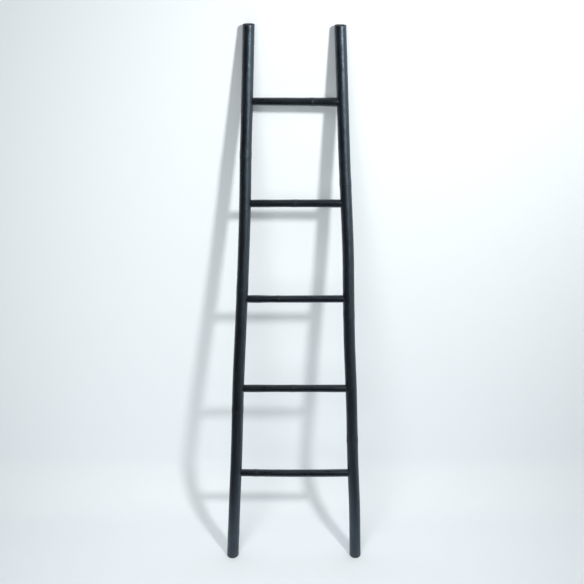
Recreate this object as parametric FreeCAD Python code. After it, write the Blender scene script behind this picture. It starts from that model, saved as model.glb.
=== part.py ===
"""Leaning blanket ladder of dark-stained bamboo: two rails, five rungs and the pegs that lock them.

Millimetres. The ladder leans as it is used: the feet stand on z = 0 and the wall is on the +Y side.
Each piece is first made with the rails standing in the plane y = 0, and then leaned and centred.
"""
import FreeCAD, Part
import math
import os
from FreeCAD import Placement, Rotation, Vector

# The whole ladder
rail_length = 1900.0  # from foot to top, along the rail
lean_angle = 10.2  # degrees from upright
foot_spread = 459.6  # between the rails' centre lines at the foot
top_spread = 288.1  # the same at the top
rung_count = 5
lowest_rung_height = 340.1  # from the feet up to the lowest rung's centre line
top_rung_drop = 238.6  # from the rails' top ends down to the top rung's centre line

# Rails: hollow stems, thicker at the foot, closed inside at each ring by a natural partition
left_foot_diameter = 43.2
left_top_diameter = 37.9
right_foot_diameter = 41.6
right_top_diameter = 38.0
right_top_cut = 3.0  # how much lower the right rail's top is cut than the left one's
rail_wall = 5.0
partition_thickness = 5.0
top_edge_round = 2.2
foot_edge_round = 2.4
# Rings: height up the rail, and how far the skin swells there
left_rings = ((89.0, 0.45), (584.0, 0.6), (1036.0, 0.5), (1487.0, 0.7))
right_rings = ((468.0, 0.9), (939.0, 0.5), (1395.0, 0.65))
# Natural bends: height up the rail, and how far the stem strays to the right there
left_bends = (
    (0, 1.6), (200, 2.5), (420, 4.4), (640, 3.2), (840, 5.0), (1040, 7.5), (1230, 8.4),
    (1380, 7.2), (1500, 4.9), (1640, 4.6), (1900, 2.3),
)
right_bends = (
    (0, 2.2), (210, 5.2), (400, 3.6), (650, 5.0), (880, 3.5), (1020, 5.2), (1160, 7.4),
    (1320, 6.0), (1450, 4.0), (1640, 3.2), (1900, 2.3),
)

# Shape of a ring: rise above its scar line, and the share of its swell there
rail_ring_profile = ((-22, 0.0), (-11, 0.35), (-4, 0.95), (3, 0.8), (8, 1.0), (15, 0.45), (26, 0.0))
rung_ring_profile = ((-14, 0.0), (-7, 0.45), (-2, 1.0), (3, 0.9), (8, 0.4), (16, 0.0))
rail_scar_depth = 0.4
rail_scar_width = 1.0
rung_scar_depth = 0.3
rung_scar_width = 0.8

# Rungs, from the lowest up: diameters at the left and right ends, the ring's place across the
# ladder and its swell, how far the middle sags and how far the right end lies above the left one
rung_left_diameters = (25.8, 26.2, 24.4, 24.8, 25.0)
rung_right_diameters = (27.8, 26.6, 25.8, 26.9, 27.3)
rung_ring_places = (-138.0, -4.0, -52.0, 3.0, 60.0)
rung_ring_swells = (0.7, 0.4, 0.4, 0.4, 0.5)
rung_sags = (2.2, 0.0, 0.6, -0.5, 0.0)
rung_tilts = (-0.9, 0.0, 0.5, 0.0, -2.0)
rung_bore = 10.0
rung_partition = 4.0

# Joints: each rung goes full thick through a close hole in the rail's inner side, and its
# turned-down end on into the hollow. A peg driven from behind goes through the rail's back wall
# and that end, into the front wall
housing_depth = 6.0  # from the rail's innermost line to the end of the rung's full thickness
housing_fit = 0.1  # all round, filled by glue
housing_end_gap = 0.5
tenon_diameter = 17.0
tenon_fit = 0.05  # all round, filled by glue
tenon_end_gap = 1.0  # to the far side of the rail's wall
peg_diameter = 4.0
peg_fit = 0.03
peg_head_rise = 0.4
peg_head_round = 0.8
peg_tip_bevel = 0.6
peg_bite = 2.5  # into the front wall
peg_end_gap = 0.5

# How far cutting shapes reach past what they cut
overrun = 10.0

# A stem's skin is two half rounds, with seams at these angles, clear of the sockets and pegs
seam_angles = (-45, 135)


class Rail:
    """The sizes of one rail; side is -1 on the left and +1 on the right."""

    def __init__(self, name, side, foot_diameter, top_diameter, rings, bends, top_cut=0.0):
        self.name = name
        self.side = side
        self.foot_radius = foot_diameter / 2
        self.top_radius = top_diameter / 2
        self.swells = [(height, most) for height, most in rings if height < rail_length]
        self.rings = [height for height, _ in self.swells]
        self.bends = bends
        self.top_cut = top_cut

    def centre(self, height):
        """Where the rail's centre line lies across the ladder."""
        spread = between(height, (0, foot_spread), (rail_length, top_spread))
        return self.side * spread / 2 + along(self.bends, height)

    def radius(self, height):
        """The rail's radius, with its rings."""
        plain = between(height, (0, self.foot_radius), (rail_length, self.top_radius))
        return plain + sum(most * swell(rail_ring_profile, height - ring) for ring, most in self.swells)


def between(place, low, high):
    """The value at a place on the straight line through two points."""
    share = (place - low[0]) / (high[0] - low[0])
    return low[1] + share * (high[1] - low[1])


def along(points, place):
    """The value at a place along a chain of points, whose end stretches go on past it."""
    for low, high in zip(points, points[1:]):
        if place <= high[0]:
            break
    return between(place, low, high)


def swell(profile, rise):
    """The share of a ring's swell that its skin has at a rise above its scar line."""
    if profile[0][0] < rise < profile[-1][0]:
        return along(profile, rise)
    return 0.0


def half_skin(line, seam_angle):
    """Half of a round stem's skin, along a spline through (sideways, radius, height) points."""
    poles = []
    weights = []
    for corner in range(5):
        angle = math.radians(seam_angle + 45 * corner)
        weight = math.sqrt(0.5) if corner % 2 else 1.0
        across = math.cos(angle) / weight
        back = math.sin(angle) / weight
        poles.append([Vector(p.x + across * p.y, back * p.y, p.z) for p in line.getPoles()])
        weights.append([weight] * line.NbPoles)
    skin = Part.BSplineSurface()
    skin.buildFromPolesMultsKnots(
        poles, (3, 2, 3), line.getMultiplicities(), (0, 1, 2), line.getKnots(),
        False, False, 2, line.Degree, weights,
    )
    return skin.toShape()


def stem(stations):
    """A solid round stem up Z through stations (sideways, radius, height), with flat ends."""
    line = Part.BSplineCurve()
    line.interpolate([Vector(*station) for station in stations])
    faces = [half_skin(line, angle) for angle in seam_angles]
    for sideways, radius, height in (stations[0], stations[-1]):
        centre = Vector(sideways, 0, height)
        halves = [Part.makeCircle(radius, centre, Vector(0, 0, 1), angle, angle + 180)
                  for angle in seam_angles]
        faces.append(Part.Face(Part.Wire(halves)))
    shell = Part.makeShell(faces)
    shell.sewShape()
    solid = Part.makeSolid(shell)
    if solid.Volume < 0:
        solid.reverse()
    return solid


def rail_stations(rail, low, high, inset=0.0):
    """Stations along a rail between two heights, with its radius less an inset."""
    reach = rail_ring_profile[-1][0]
    heights = {low, high}
    for height, _ in rail.bends:
        if all(abs(height - ring) > 2 * reach for ring in rail.rings):
            heights.add(height)
    for ring in rail.rings:
        heights.update(ring + rise for rise, _ in rail_ring_profile)
    kept = [height for height in sorted(heights) if low <= height <= high]
    return [(rail.centre(height), rail.radius(height) - inset, height) for height in kept]


def partition(sideways, radius, height, thickness, scar_depth):
    """The disc that shuts a stem at a ring; its edge is the floor of the ring's scar line."""
    base = Vector(sideways, 0, height - thickness / 2)
    return Part.makeCylinder(radius - scar_depth, thickness, base)


def stretches(low, high, rings, gap):
    """The stretches of a stem between its ends and its rings, with a gap at each ring."""
    starts = [low] + [ring + gap / 2 for ring in rings]
    ends = [ring - gap / 2 for ring in rings] + [high]
    return zip(starts, ends)


class Rung:
    """The sizes of one rung; index 0 is the lowest."""

    def __init__(self, index):
        self.name = f"rung_{index + 1}"
        pitch = (rail_length - lowest_rung_height - top_rung_drop) / (rung_count - 1)
        height = lowest_rung_height + index * pitch
        shape = index % len(rung_ring_places)
        self.left_radius = rung_left_diameters[shape] / 2
        self.right_radius = rung_right_diameters[shape] / 2
        self.ring_swell = rung_ring_swells[shape]
        self.sag = rung_sags[shape]
        tilt = rung_tilts[shape]
        self.heights = (height - tilt / 2, height + tilt / 2)
        self.ends = [Vector(rail.centre(end), 0, end) for rail, end in zip(RAILS, self.heights)]
        self.span = (self.ends[1] - self.ends[0]).Length
        self.ring = rung_ring_places[shape] - self.ends[0].x
        self.first = RAILS[0].radius(self.heights[0]) - housing_depth
        self.last = self.span - RAILS[1].radius(self.heights[1]) + housing_depth

    def station(self, place):
        """Sideways place and radius of the stem at a place along the rung."""
        radius = between(place, (self.first, self.left_radius), (self.last, self.right_radius))
        radius += self.ring_swell * swell(rung_ring_profile, place - self.ring)
        share = (place - self.first) / (self.last - self.first)
        droop = 4 * self.sag * share * (1 - share)
        return (droop, radius, place)

    def placed(self, shape):
        """A shape made up the Z axis, laid from the left rail's centre line to the right one's.

        Its own X axis then points down the ladder, so that a rung sags to the low side.
        """
        line = self.ends[1] - self.ends[0]
        turned = Rotation(Vector(0, 0, -1), Vector(0, 1, 0), line, "ZXY")
        moved = shape.copy()
        moved.Placement = Placement(self.ends[0], turned)
        return moved


def tenon_depths(rung):
    """How far past each rail's centre line a rung's tenons reach, clear of the rail's far wall."""
    depths = []
    for rail, height in zip(RAILS, rung.heights):
        room = rail.radius(height) - rail_wall - tenon_end_gap
        depths.append(math.sqrt(room**2 - (tenon_diameter / 2) ** 2))
    return depths


def tenon_rods(rung, radius, extra):
    """Two rods on a rung's axis, from its tenons' ends, and extra past them, into its stem."""
    left, right = (depth + extra for depth in tenon_depths(rung))
    start = Part.makeCylinder(radius, left + rung.first + housing_depth, Vector(0, 0, -left))
    end_base = Vector(0, 0, rung.last - housing_depth)
    end = Part.makeCylinder(radius, rung.span + right - rung.last + housing_depth, end_base)
    return [rung.placed(start), rung.placed(end)]


def rung_stations(rung, low, high, fit=0.0):
    """Stations along a rung between two places, with its radius and a fit."""
    middle = (rung.first + rung.last) / 2
    quarter = (rung.last - rung.first) / 4
    reach = rung_ring_profile[-1][0]
    places = {low, high}
    for place in (middle - quarter, middle, middle + quarter):
        if abs(place - rung.ring) > 2 * reach:
            places.add(place)
    places.update(rung.ring + rise for rise, _ in rung_ring_profile)
    stations = [rung.station(place) for place in sorted(places) if low <= place <= high]
    return [(droop, radius + fit, place) for droop, radius, place in stations]


def rung_stems(rung):
    """A rung's stem on both sides of its ring, and the partition between them."""
    droop, radius, _ = rung.station(rung.ring)
    parts = [partition(droop, radius, rung.ring, rung_partition, rung_scar_depth)]
    for low, high in stretches(rung.first, rung.last, [rung.ring], rung_scar_width):
        parts.append(stem(rung_stations(rung, low, high)))
    return [rung.placed(part) for part in parts]


def housings(rung):
    """Cutters for the close holes round a rung's two ends: its own stem, a fit thicker."""
    low_end = rung.first - housing_end_gap
    high_end = rung.last + housing_end_gap
    return [rung.placed(stem(rung_stations(rung, low, high, housing_fit)))
            for low, high in stretches(low_end, high_end, [rung.ring], rung_scar_width)]


def rung_hollows(rung):
    """The narrow bore of a rung, open at both tenons and shut at its ring by a partition."""
    half = rung_partition / 2
    left, right = tenon_depths(rung)
    low_end = rung.ring - half
    high_start = rung.ring + half
    low = Part.makeCylinder(rung_bore / 2, low_end + left + overrun, Vector(0, 0, -left - overrun))
    high_length = rung.span + right + overrun - high_start
    high = Part.makeCylinder(rung_bore / 2, high_length, Vector(0, 0, high_start))
    return [rung.placed(low), rung.placed(high)]


def peg_rod(rail, height, radius, rise, end_gap):
    """A rod from behind a rail at a height to just inside its front wall."""
    back = rail.radius(height) + rise
    front = rail.radius(height) - rail_wall + peg_bite + end_gap
    base = Vector(rail.centre(height), back, height)
    return Part.makeCylinder(radius, back + front, base, Vector(0, -1, 0))


def end_rim(rod, side):
    """The round edge at a rod's back end, where side is 1, or at its front end, where it is -1."""
    rounds = [edge for edge in rod.Edges if edge.isClosed()]
    return max(rounds, key=lambda edge: side * edge.CenterOfMass.y)


def peg_holes(rung):
    """The holes for a rung's two pegs, bored from behind with the rung in place."""
    radius = peg_diameter / 2 + peg_fit
    return [peg_rod(rail, height, radius, overrun, peg_end_gap)
            for rail, height in zip(RAILS, rung.heights)]


def make_rung(rung):
    """One rung: stem, two tenons, bore and peg holes."""
    first, *others = rung_stems(rung) + tenon_rods(rung, tenon_diameter / 2, 0)
    return first.fuse(others).cut(rung_hollows(rung) + peg_holes(rung))


def make_peg(rail, height):
    """One locking peg, its rounded head a little proud of the rail's back."""
    rod = peg_rod(rail, height, peg_diameter / 2, peg_head_rise, 0)
    rod = rod.makeChamfer(peg_tip_bevel, [end_rim(rod, -1)])
    return rod.makeFillet(peg_head_round, [end_rim(rod, 1)])


def rail_cutters(rail):
    """A hole for each rung's full thickness, its tenon and its peg."""
    index = RAILS.index(rail)
    radius = tenon_diameter / 2 + tenon_fit
    cutters = []
    for rung in RUNGS:
        cutters.append(housings(rung)[index])
        cutters.append(tenon_rods(rung, radius, tenon_end_gap / 2)[index])
        cutters.append(peg_holes(rung)[index])
    return cutters


def make_rail(rail):
    """One rail: hollow stem with rings, a socket and a peg hole for each rung, and level ends."""
    low = -overrun
    high = rail_length + overrun
    skins = [stem(rail_stations(rail, *ends)) for ends in stretches(low, high, rail.rings, rail_scar_width)]
    hollows = [stem(rail_stations(rail, *ends, rail_wall))
               for ends in stretches(low - overrun, high + overrun, rail.rings, partition_thickness)]
    parts = [skin.cut([hollow] + rail_cutters(rail)) for skin, hollow in zip(skins, hollows)]
    for ring in rail.rings:
        parts.append(partition(
            rail.centre(ring), rail.radius(ring), ring, partition_thickness, rail_scar_depth))
    first, *others = parts
    return level_ends(leaned(first.fuse(others)), rail.top_cut)


def leaned(shape):
    """The shape with its upright plane leaned back towards the wall, about the feet."""
    moved = shape.copy()
    moved.rotate(Vector(0, 0, 0), Vector(1, 0, 0), -lean_angle)
    return moved


def level_ends(shape, top_cut):
    """A leaned rail cut level at the floor and at the top, with the cut edges rounded."""
    height = rail_length * math.cos(math.radians(lean_angle)) - top_cut
    wide = 2 * (rail_length + foot_spread)
    room = Part.makeBox(wide, wide, height, Vector(-wide / 2, -wide / 2, 0))
    cut = shape.common(room)
    for level, radius in ((height, top_edge_round), (0, foot_edge_round)):
        end = min(cut.Faces, key=lambda face: face.BoundBox.ZLength + abs(face.CenterOfMass.z - level))
        cut = cut.makeFillet(radius, end.OuterWire.Edges)
    return cut


RAILS = [
    Rail("rail_left", -1, left_foot_diameter, left_top_diameter, left_rings, left_bends),
    Rail("rail_right", 1, right_foot_diameter, right_top_diameter, right_rings, right_bends,
         right_top_cut),
]
RUNGS = [Rung(index) for index in range(rung_count)]

pieces = {rail.name: make_rail(rail) for rail in RAILS}
for rung in RUNGS:
    pieces[rung.name] = leaned(make_rung(rung))
    for rail, height, end in zip(RAILS, rung.heights, ("left", "right")):
        pieces[f"{rung.name}_peg_{end}"] = leaned(make_peg(rail, height))

# The origin is on the floor, under the middle of the ladder
box = Part.makeCompound(list(pieces.values())).optimalBoundingBox(False)
os.makedirs("parts", exist_ok=True)
for name, shape in pieces.items():
    shape.translate(Vector(-box.Center.x, -box.Center.y, 0))
    shape.exportStep(f"parts/{name}.step")
    print(name, shape.ShapeType, len(shape.Solids), shape.isValid(), round(shape.Volume))
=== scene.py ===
"""The looks of a leaning blanket ladder of bamboo: two rails, five rungs and the pegs that lock them.

Metres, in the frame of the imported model: the feet stand on z = 0 and the wall is on the +Y side.
"""
import bmesh
import bpy
import math
from mathutils import Matrix, Vector


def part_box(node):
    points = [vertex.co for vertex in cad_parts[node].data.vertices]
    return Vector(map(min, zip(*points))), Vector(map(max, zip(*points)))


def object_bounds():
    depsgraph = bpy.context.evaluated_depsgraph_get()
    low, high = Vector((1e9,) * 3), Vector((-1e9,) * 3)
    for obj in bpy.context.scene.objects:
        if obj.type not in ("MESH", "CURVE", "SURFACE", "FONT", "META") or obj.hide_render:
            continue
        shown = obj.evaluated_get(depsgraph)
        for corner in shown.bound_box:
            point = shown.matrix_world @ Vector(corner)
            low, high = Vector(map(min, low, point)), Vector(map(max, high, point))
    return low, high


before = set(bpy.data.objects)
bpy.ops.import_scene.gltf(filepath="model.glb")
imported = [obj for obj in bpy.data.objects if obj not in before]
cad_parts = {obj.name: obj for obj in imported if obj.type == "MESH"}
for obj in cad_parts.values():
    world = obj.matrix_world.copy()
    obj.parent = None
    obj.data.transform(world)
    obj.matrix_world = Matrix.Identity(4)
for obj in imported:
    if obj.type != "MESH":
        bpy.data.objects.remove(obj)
cad_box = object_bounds()


# ---------------------------------------------------------------- rails
# Two bamboo poles, hollow and cut level at both ends. They are stained near black and varnished
# satin. The stain wears brown near the floor and where the cut rims are handled, and hardly enters
# the hollow. The scar line of each ring is painted darker as painted shade in its groove, and the
# ridge just above it is painted paler as a painted highlight.

rail_ring_heights = {"rail_left": (0.089, 0.584, 1.036, 1.487), "rail_right": (0.468, 0.939, 1.395)}
rail_varnish = 0.44
rail_gloss_level = 1.0
rail_dented = 1.0
varnish_tint = (0.62, 0.81, 1.0, 1)
black_stain = (0.0042, 0.0052, 0.0066, 1)
thin_stain = (0.0105, 0.0120, 0.0145, 1)
worn_stain = (0.0330, 0.0265, 0.0205, 1)
# painted shade: the colour that each ring's scar line is darkened to
scar_painted_shade = (0.0010, 0.0011, 0.0013, 1)
# pale hairline scratches, and also a painted highlight on the ridge above each ring
pale_scratch_and_ridge_highlight = (0.0450, 0.0470, 0.0500, 1)
dust = (0.1300, 0.1360, 0.1430, 1)
end_grain_wood = (0.0075, 0.0066, 0.0058, 1)
end_grain_fibre = (0.0040, 0.0036, 0.0033, 1)
bare_hollow = (0.0450, 0.0290, 0.0160, 1)
bare_hollow_roughness = 0.85
foot_wear_height = 0.035
rim_wear_depth = 0.012
cut_facing = (0.45, 0.8)
hollow_facing = (-0.002, -0.006)


def node(tree, kind, inputs=None, **settings):
    """A shader node with its settings; each input is given a value or linked to another socket."""
    made = tree.nodes.new("ShaderNode" + kind)
    for name, value in settings.items():
        setattr(made, name, value)
    for name, value in (inputs or {}).items():
        if isinstance(value, bpy.types.NodeSocket):
            tree.links.new(value, made.inputs[name])
        else:
            made.inputs[name].default_value = value
    return made


def calc(tree, operation, first, second=0.0, third=0.0):
    """The result of one sum on two numbers, or three where it needs them."""
    return node(tree, "Math", {0: first, 1: second, 2: third}, operation=operation).outputs[0]


def ramp(tree, value, low, high):
    """0 at the low value and 1 at the high one, eased between them."""
    inputs = {"Value": value, "From Min": low, "From Max": high}
    return node(tree, "MapRange", inputs, interpolation_type="SMOOTHSTEP").outputs["Result"]


def blended(tree, share, first, second):
    """Two colours mixed by a share."""
    mix = node(tree, "Mix", {0: share, 6: first, 7: second}, data_type="RGBA")
    return mix.outputs[2]


def stretched_noise(tree, place, along, scale, detail, roughness=0.5):
    """Noise drawn out along the stem, so that its spots become streaks."""
    stretched = node(tree, "VectorMath", {0: place, 1: (1, 1, along)}, operation="MULTIPLY").outputs[0]
    inputs = {"Vector": stretched, "Scale": scale, "Detail": detail, "Roughness": roughness}
    return node(tree, "TexNoise", inputs).outputs["Fac"]


def new_group(name, inputs, outputs):
    """An empty node group with these sockets, and its input sockets and output node."""
    group = bpy.data.node_groups.new(name, "ShaderNodeTree")
    for socket, kind in inputs.items():
        group.interface.new_socket(socket, in_out="INPUT", socket_type="NodeSocket" + kind)
    for socket, kind in outputs.items():
        group.interface.new_socket(socket, in_out="OUTPUT", socket_type="NodeSocket" + kind)
    return group, group.nodes.new("NodeGroupInput").outputs, group.nodes.new("NodeGroupOutput").inputs


# Stained bamboo skin, with painted shade in each ring's scar line and a painted highlight on the
# ridge just above it. Place has Z along the stem, Rise is the way up from the nearest ring's scar
# line, Worn and Dented are 0 to 1, and Varnish is the plain roughness. Height is the skin's relief
# in metres.
stained_skin, given, result = new_group(
    "stained_skin",
    {"Place": "Vector", "Rise": "Float", "Worn": "Float", "Dented": "Float", "Varnish": "Float"},
    {"Colour": "Color", "Roughness": "Float", "Height": "Float"},
)
tree = stained_skin
place = given["Place"]
fibre = stretched_noise(tree, place, 0.03, 900.0, 3.0, 0.6)
streak = stretched_noise(tree, place, 0.04, 170.0, 3.0, 0.6)
flute = stretched_noise(tree, place, 0.06, 60.0, 1.0)
cloud = stretched_noise(tree, place, 0.5, 22.0, 3.0)
dent = calc(tree, "SUBTRACT", stretched_noise(tree, place, 0.35, 150.0, 2.0, 0.6), 0.5)
dent = calc(tree, "MULTIPLY", dent, given["Dented"])
hairline = ramp(tree, stretched_noise(tree, place, 0.012, 520.0, 1.0), 0.71, 0.76)
cells = node(tree, "TexVoronoi", {"Vector": place, "Scale": 240.0}).outputs
chance = node(tree, "SeparateColor", {"Color": cells["Color"]}).outputs["Red"]
nib = calc(tree, "MULTIPLY", ramp(tree, cells["Distance"], 0.15, 0.07), ramp(tree, chance, 0.86, 0.90))
wavy_rise = calc(tree, "MULTIPLY_ADD", cloud, 0.0012, calc(tree, "SUBTRACT", given["Rise"], 0.0006))
scar = ramp(tree, calc(tree, "ABSOLUTE", wavy_rise), 0.0011, 0.0004)
above = calc(tree, "ABSOLUTE", calc(tree, "SUBTRACT", wavy_rise, 0.0030))
ridge = calc(tree, "MULTIPLY", ramp(tree, above, 0.0024, 0.0006), ramp(tree, streak, 0.35, 0.6))
grain = calc(tree, "MULTIPLY_ADD", fibre, 0.45, calc(tree, "MULTIPLY", streak, 0.55))
colour = blended(tree, ramp(tree, grain, 0.36, 0.68), black_stain, thin_stain)
patch = calc(tree, "MULTIPLY_ADD", fibre, 0.5, calc(tree, "MULTIPLY", cloud, 0.5))
wear_share = calc(tree, "MULTIPLY", ramp(tree, patch, 0.38, 0.62), given["Worn"])
colour = blended(tree, wear_share, colour, worn_stain)
colour = blended(tree, calc(tree, "MULTIPLY", hairline, 0.5), colour, pale_scratch_and_ridge_highlight)
# painted highlight on the ridge just above each ring's scar line
colour = blended(tree, calc(tree, "MULTIPLY", ridge, 0.6), colour, pale_scratch_and_ridge_highlight)
# painted shade in the groove of each ring's scar line
colour = blended(tree, scar, colour, scar_painted_shade)
colour = blended(tree, calc(tree, "MULTIPLY", nib, 0.4), colour, dust)
rough = calc(tree, "MULTIPLY_ADD", cloud, 0.20, calc(tree, "SUBTRACT", given["Varnish"], 0.17))
rough = calc(tree, "MULTIPLY_ADD", streak, 0.14, rough)
rough = calc(tree, "MULTIPLY_ADD", dent, 0.34, rough)
rough = calc(tree, "MULTIPLY_ADD", scar, 0.2, rough)
height = calc(tree, "MULTIPLY", flute, 0.00060)
height = calc(tree, "MULTIPLY_ADD", streak, 0.00022, height)
height = calc(tree, "MULTIPLY_ADD", dent, 0.00085, height)
height = calc(tree, "MULTIPLY_ADD", fibre, 0.00003, height)
height = calc(tree, "MULTIPLY_ADD", nib, 0.00008, height)
height = calc(tree, "MULTIPLY_ADD", scar, -0.00020, height)
tree.links.new(colour, result["Colour"])
tree.links.new(rough, result["Roughness"])
tree.links.new(height, result["Height"])

# Sawn bamboo: dark fibre bundles, spread evenly, in browner wood
sawn_end, given, result = new_group(
    "sawn_end", {"Place": "Vector"}, {"Colour": "Color", "Roughness": "Float", "Height": "Float"})
tree = sawn_end
place = given["Place"]
pores = node(tree, "TexVoronoi", {"Vector": place, "Scale": 1300.0}).outputs["Distance"]
smear = node(tree, "TexNoise", {"Vector": place, "Scale": 300.0, "Detail": 3.0}).outputs["Fac"]
bundle = ramp(tree, pores, 0.42, 0.16)
colour = blended(tree, ramp(tree, smear, 0.3, 0.7), end_grain_wood, thin_stain)
colour = blended(tree, bundle, colour, end_grain_fibre)
rough = calc(tree, "MULTIPLY_ADD", smear, 0.25, 0.7)
height = calc(tree, "MULTIPLY", bundle, 0.00006)
tree.links.new(colour, result["Colour"])
tree.links.new(rough, result["Roughness"])
tree.links.new(height, result["Height"])


def end_centre(name, level):
    """The middle of a rail's cut end at a level."""
    near = [v.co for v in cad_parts[name].data.vertices if abs(v.co.z - level) < 0.0005]
    return sum(near, Vector()) / len(near)


def stem_place(tree, start, end):
    """Places measured from a stem's start, with Z along the stem."""
    turn = (end - start).rotation_difference(Vector((0, 0, 1)))
    inputs = {
        "Vector": node(tree, "TexCoord").outputs["Object"],
        "Location": -(turn @ start),
        "Rotation": turn.to_euler(),
    }
    return node(tree, "Mapping", inputs, vector_type="POINT").outputs["Vector"]


def rise_over_ring(tree, along, rings):
    """How far a place lies above the nearest of a stem's rings; below it is negative."""
    nearest = rings[0]
    for low, high in zip(rings, rings[1:]):
        past = calc(tree, "GREATER_THAN", along, (low + high) / 2)
        nearest = calc(tree, "MULTIPLY_ADD", past, high - low, nearest)
    return calc(tree, "SUBTRACT", along, nearest)


def bamboo_material(name, start, end, rings, varnish, gloss_level):
    """A stem's material, with its tree, its shader and the stained skin that it starts from."""
    material = bpy.data.materials.new(name)
    material.use_nodes = True
    tree = material.node_tree
    shader = tree.nodes["Principled BSDF"]
    shader.inputs["Specular IOR Level"].default_value = gloss_level
    shader.inputs["Specular Tint"].default_value = varnish_tint
    place = stem_place(tree, start, end)
    along = node(tree, "SeparateXYZ", {"Vector": place}).outputs["Z"]
    rise = rise_over_ring(tree, along, rings)
    skin = node(tree, "Group", node_tree=stained_skin)
    tree.links.new(place, skin.inputs["Place"])
    tree.links.new(rise, skin.inputs["Rise"])
    skin.inputs["Varnish"].default_value = varnish
    return material, shader, skin, place


def finish(tree, shader, colour, rough, height):
    """Gives a shader its colour, roughness and relief."""
    bump = node(tree, "Bump", {"Height": height, "Distance": 1.0}).outputs["Normal"]
    tree.links.new(colour, shader.inputs["Base Color"])
    tree.links.new(rough, shader.inputs["Roughness"])
    tree.links.new(bump, shader.inputs["Normal"])


def wear(node_name, material):
    """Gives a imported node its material."""
    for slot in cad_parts[node_name].material_slots:
        slot.material = material


for name, rings in rail_ring_heights.items():
    low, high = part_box(name)
    foot = end_centre(name, low.z)
    top = end_centre(name, high.z)
    material, shader, skin, place = bamboo_material(
        "black_bamboo_" + name, foot, top, rings, rail_varnish, rail_gloss_level)
    tree = material.node_tree
    level = node(tree, "SeparateXYZ", {"Vector": node(tree, "TexCoord").outputs["Object"]}).outputs["Z"]
    scuffed = ramp(tree, level, foot_wear_height, 0.0)
    handled = ramp(tree, level, high.z - rim_wear_depth, high.z)
    tree.links.new(calc(tree, "MAXIMUM", scuffed, handled), skin.inputs["Worn"])
    skin.inputs["Dented"].default_value = rail_dented

    normal = node(tree, "NewGeometry").outputs["Normal"]
    facing = node(tree, "SeparateXYZ", {"Vector": normal}).outputs["Z"]
    cut = ramp(tree, calc(tree, "ABSOLUTE", facing), *cut_facing)
    across = node(tree, "VectorMath", {0: place, 1: (1, 1, 0)}, operation="MULTIPLY").outputs[0]
    outward = node(tree, "VectorMath", {0: across, 1: normal}, operation="DOT_PRODUCT").outputs["Value"]
    inside = ramp(tree, outward, *hollow_facing)
    end = node(tree, "Group", {"Place": place}, node_tree=sawn_end).outputs
    colour = blended(tree, cut, skin.outputs["Colour"], end["Colour"])
    colour = blended(tree, inside, colour, bare_hollow)
    rough = calc(tree, "MAXIMUM", skin.outputs["Roughness"], calc(tree, "MULTIPLY", cut, end["Roughness"]))
    rough = calc(tree, "MAXIMUM", rough, calc(tree, "MULTIPLY", inside, bare_hollow_roughness))
    height = calc(tree, "MULTIPLY_ADD", cut, end["Height"], skin.outputs["Height"])
    finish(tree, shader, colour, rough, height)
    wear(name, material)


# ---------------------------------------------------------------- rungs
# Five thinner bamboo poles between the rails; their ends sit in close holes in both rails, glued
# and pegged. They have the rails' stain, duller, and rubbed where blankets are pulled over.

rung_ring_places = {
    "rung_1": -0.1396, "rung_2": -0.0056, "rung_3": -0.0536, "rung_4": 0.0014, "rung_5": 0.0584,
}
rung_varnish = 0.30
rung_gloss_level = 0.8
rung_dented = 0.15
most_rubbed = 0.3
rubbed_facing = (0.3, 1.0)

for name, ring_place in rung_ring_places.items():
    low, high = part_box(name)
    middle = (low + high) / 2
    material, shader, skin, place = bamboo_material(
        "black_bamboo_" + name, middle, middle + Vector((1, 0, 0)), [ring_place - middle.x],
        rung_varnish, rung_gloss_level)
    tree = material.node_tree
    normal = node(tree, "NewGeometry").outputs["Normal"]
    facing = node(tree, "SeparateXYZ", {"Vector": normal}).outputs["Z"]
    rubbed = calc(tree, "MULTIPLY", ramp(tree, facing, *rubbed_facing), most_rubbed)
    tree.links.new(rubbed, skin.inputs["Worn"])
    skin.inputs["Dented"].default_value = rung_dented
    finish(tree, shader, *skin.outputs)
    wear(name, material)


# ---------------------------------------------------------------- pegs
# Ten bamboo pegs that lock the rungs. Only their rounded heads show, a little proud of the rails'
# backs: end grain, stained with the rest, so it is duller and browner than the skin.

peg_material = bpy.data.materials.new("black_bamboo_peg")
peg_material.use_nodes = True
tree = peg_material.node_tree
shader = tree.nodes["Principled BSDF"]
place = node(tree, "TexCoord").outputs["Object"]
end = node(tree, "Group", {"Place": place}, node_tree=sawn_end).outputs
finish(tree, shader, *end)
for name in rung_ring_places:
    wear(name + "_peg_left", peg_material)
    wear(name + "_peg_right", peg_material)


# ---------------------------------------------------------------- floor and wall
# One pale sheet that runs down the wall, round a hollow corner and out over the floor. It shows
# only from its front, so that the ladder can also be seen from behind and from below.

wall_y = cad_box[1].y
corner_radius = 0.19
sheet_half_width = 6.0
sheet_front = -7.0
sheet_top = 4.5
corner_steps = 24
sheet_colour = (0.860, 0.905, 0.930, 1)
sheet_roughness = 0.9
sheet_gloss_level = 0.1

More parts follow.
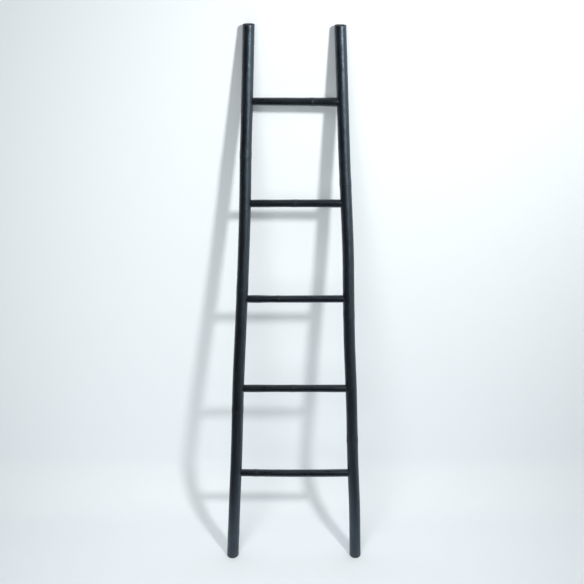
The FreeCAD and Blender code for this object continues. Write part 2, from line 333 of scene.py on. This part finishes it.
sheet = bmesh.new()
corner_axis = Vector((0, wall_y - corner_radius, corner_radius))
floor_end = sheet.verts.new((-sheet_half_width, sheet_front, 0))
floor_start = sheet.verts.new((-sheet_half_width, corner_axis.y, 0))
sheet.edges.new((floor_end, floor_start))
turned = bmesh.ops.spin(
    sheet, geom=[floor_start], cent=corner_axis, axis=(1, 0, 0), angle=math.pi / 2, steps=corner_steps)
wall_start = next(item for item in turned["geom_last"] if isinstance(item, bmesh.types.BMVert))
wall_end = sheet.verts.new((-sheet_half_width, wall_y, sheet_top))
sheet.edges.new((wall_start, wall_end))
swept = bmesh.ops.extrude_edge_only(sheet, edges=sheet.edges[:])
far_side = [item for item in swept["geom"] if isinstance(item, bmesh.types.BMVert)]
bmesh.ops.translate(sheet, verts=far_side, vec=(2 * sheet_half_width, 0, 0))
for face in sheet.faces:
    face.smooth = True
    face.normal_update()
    if face.normal.z - face.normal.y < 0:
        face.normal_flip()
sheet_mesh = bpy.data.meshes.new("floor_and_wall")
sheet.to_mesh(sheet_mesh)
sheet.free()
floor_and_wall = bpy.data.objects.new("floor_and_wall", sheet_mesh)
bpy.context.scene.collection.objects.link(floor_and_wall)

material = bpy.data.materials.new("pale_sheet")
material.use_nodes = True
tree = material.node_tree
shader = tree.nodes["Principled BSDF"]
shader.inputs["Base Color"].default_value = sheet_colour
shader.inputs["Roughness"].default_value = sheet_roughness
shader.inputs["Specular IOR Level"].default_value = sheet_gloss_level
behind = node(tree, "NewGeometry").outputs["Backfacing"]
clear = node(tree, "BsdfTransparent").outputs[0]
seen = node(tree, "MixShader", {0: behind, 1: shader.outputs[0], 2: clear}).outputs[0]
tree.links.new(seen, tree.nodes["Material Output"].inputs["Surface"])
sheet_mesh.materials.append(material)


# ---------------------------------------------------------------- light
# A soft lamp at the front right, above head height, throws the shadows. Two weak wide ones, one
# overhead and one at head height on the left, and an even dim light all round fill them.

lamp_place = Vector((1.37, -1.97, 2.80))
lamp_aim = Vector((0.0, 0.0, 1.9))
lamp_side = 0.34
lamp_spread = 130.0
lamp_power = 33.0
over_place = Vector((-0.50, -1.90, 2.60))
over_aim = Vector((-0.1, -0.6, 0.0))
over_side = 2.0
over_spread = 115.0
over_power = 7.0
left_place = Vector((-0.70, -2.30, 1.70))
left_aim = Vector((0.0, 0.0, 0.1))
left_side = 1.8
left_spread = 95.0
left_power = 6.5
round_light = 0.22
background = (0.97, 0.99, 1.0, 1)


def soft_lamp(name, place, aim, side, spread, power):
    """A round soft lamp that shines from its place to where it aims."""
    lamp = bpy.data.lights.new(name, "AREA")
    lamp.shape = "DISK"
    lamp.size = side
    lamp.spread = math.radians(spread)
    lamp.energy = power
    lamp_object = bpy.data.objects.new(name, lamp)
    lamp_object.location = place
    lamp_object.rotation_euler = (aim - place).to_track_quat("-Z", "Y").to_euler()
    bpy.context.scene.collection.objects.link(lamp_object)
    return lamp_object


soft_lamp("main_lamp", lamp_place, lamp_aim, lamp_side, lamp_spread, lamp_power)
over = soft_lamp("overhead_lamp", over_place, over_aim, over_side, over_spread, over_power)
over.visible_glossy = False
left = soft_lamp("left_lamp", left_place, left_aim, left_side, left_spread, left_power)
left.visible_glossy = False

world = bpy.data.worlds.new("studio")
world.use_nodes = True
bpy.context.scene.world = world
tree = world.node_tree
tree.nodes["Background"].inputs["Color"].default_value = background
rays = node(tree, "LightPath").outputs
shown = calc(tree, "MAXIMUM", rays["Is Camera Ray"], rays["Is Glossy Ray"])
shown = calc(tree, "MAXIMUM", shown, rays["Is Transmission Ray"])
strength = calc(tree, "MULTIPLY_ADD", shown, 1 - round_light, round_light)
tree.links.new(strength, tree.nodes["Background"].inputs["Strength"])


# ---------------------------------------------------------------- curtain and card
# What the varnish mirrors: a dark curtain round the front and left of the studio, and a tall
# card under the lamp that glows though it is no lamp, a painted highlight that draws the lamp's
# gleam out down the rails. They show in nothing else and light nothing.

curtain_hem = 0.7
curtain_radius = 3.3
curtain_height = 4.4
curtain_hole = 0.4
curtain_lift = 0.003
curtain_start = 55.0
curtain_turn = -190.0
curtain_steps = 24
curtain_colour = (0.004, 0.004, 0.004, 1)
card_middle = Vector((1.30, -1.85, 1.55))
card_width = 0.5
card_height = 1.3
card_glow = 4.5


def mirrored_only(name, shape, colour, glow):
    """Makes a studio piece of a shape that only mirror rays meet."""
    mesh = bpy.data.meshes.new(name)
    shape.to_mesh(mesh)
    shape.free()
    piece = bpy.data.objects.new(name, mesh)
    piece.visible_camera = False
    piece.visible_diffuse = False
    piece.visible_transmission = False
    piece.visible_shadow = False
    bpy.context.scene.collection.objects.link(piece)
    material = bpy.data.materials.new(name)
    material.use_nodes = True
    shader = material.node_tree.nodes["Principled BSDF"]
    shader.inputs["Base Color"].default_value = colour
    shader.inputs["Specular IOR Level"].default_value = 0.0
    shader.inputs["Emission Color"].default_value = background
    shader.inputs["Emission Strength"].default_value = glow
    mesh.materials.append(material)


curtain = bmesh.new()
start = math.radians(curtain_start)
outwards = Vector((math.sin(start), -math.cos(start), 0))
corners = (
    (curtain_hem, curtain_lift), (curtain_radius, curtain_lift),
    (curtain_radius, curtain_height), (curtain_hole, curtain_height),
)
points = [curtain.verts.new(outwards * reach + Vector((0, 0, height))) for reach, height in corners]
edges = [curtain.edges.new(pair) for pair in zip(points, points[1:])]
bmesh.ops.spin(
    curtain, geom=points + edges, cent=(0, 0, 0), axis=(0, 0, 1),
    angle=math.radians(curtain_turn), steps=curtain_steps)
mirrored_only("dark_curtain", curtain, curtain_colour, 0.0)

card = bmesh.new()
bmesh.ops.create_grid(card, x_segments=1, y_segments=1, size=0.5)
bmesh.ops.scale(card, vec=(card_width, card_height, 1), verts=card.verts)
facing = Vector((-card_middle.x, -card_middle.y, 0)).to_track_quat("Z", "Y")
hung = Matrix.Translation(card_middle) @ facing.to_matrix().to_4x4()
bmesh.ops.transform(card, matrix=hung, verts=card.verts)
mirrored_only("bright_card", card, curtain_colour, card_glow)


# ---------------------------------------------------------------- camera
# A little above the ladder's top, in front of its middle, looking down at it.

camera_place = (-0.0070, -2.4966, 2.2111)
camera_tilt_down = 25.58

camera = bpy.data.cameras.new("camera")
camera.lens = 50.0
camera.sensor_width = 36.0
camera_object = bpy.data.objects.new("camera", camera)
camera_object.location = camera_place
camera_object.rotation_euler = (math.radians(90 - camera_tilt_down), 0, 0)
bpy.context.scene.collection.objects.link(camera_object)
bpy.context.scene.camera = camera_object
bpy.context.scene.view_settings.view_transform = "Standard"
